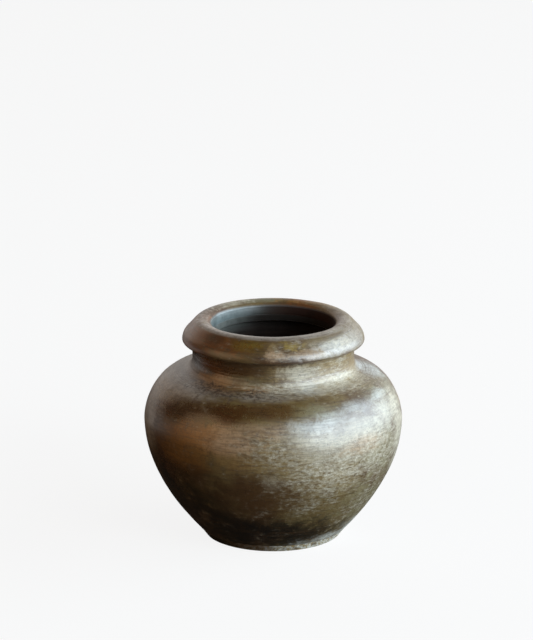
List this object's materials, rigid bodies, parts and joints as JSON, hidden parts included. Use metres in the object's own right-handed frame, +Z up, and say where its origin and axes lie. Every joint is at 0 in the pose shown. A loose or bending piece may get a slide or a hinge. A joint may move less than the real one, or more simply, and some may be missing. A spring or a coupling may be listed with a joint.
{
  "type": "clay pot",
  "caption": "Squat round clay pot with a wide belly, short flared neck, thick rolled rim with an undercut, open mouth and small flat foot.",
  "frame": {"origin": "centre of the foot, on the ground plane that the pot rests on", "axes": "+Z up along the pot's axis of revolution; X and Y level, with the side that the picture shows facing -Y"},
  "size_m": [0.21, 0.21, 0.1805],
  "materials": {
    "foot_clay": "bare, pale grey clay with a dry matt surface",
    "burnished_clay": "smoke-fired dark brown clay, burnished to a soft sheen, with pale scratched patina",
    "rim_clay": "burnished brown and ochre clay, worn paler on the crest"
  },
  "bodies": {
    "root": {"base_disc": "foot_clay", "lower_wall": "burnished_clay", "shoulder_wall": "burnished_clay", "neck_collar": "burnished_clay", "rim_coil": "rim_clay"}
  },
  "joints": []
}
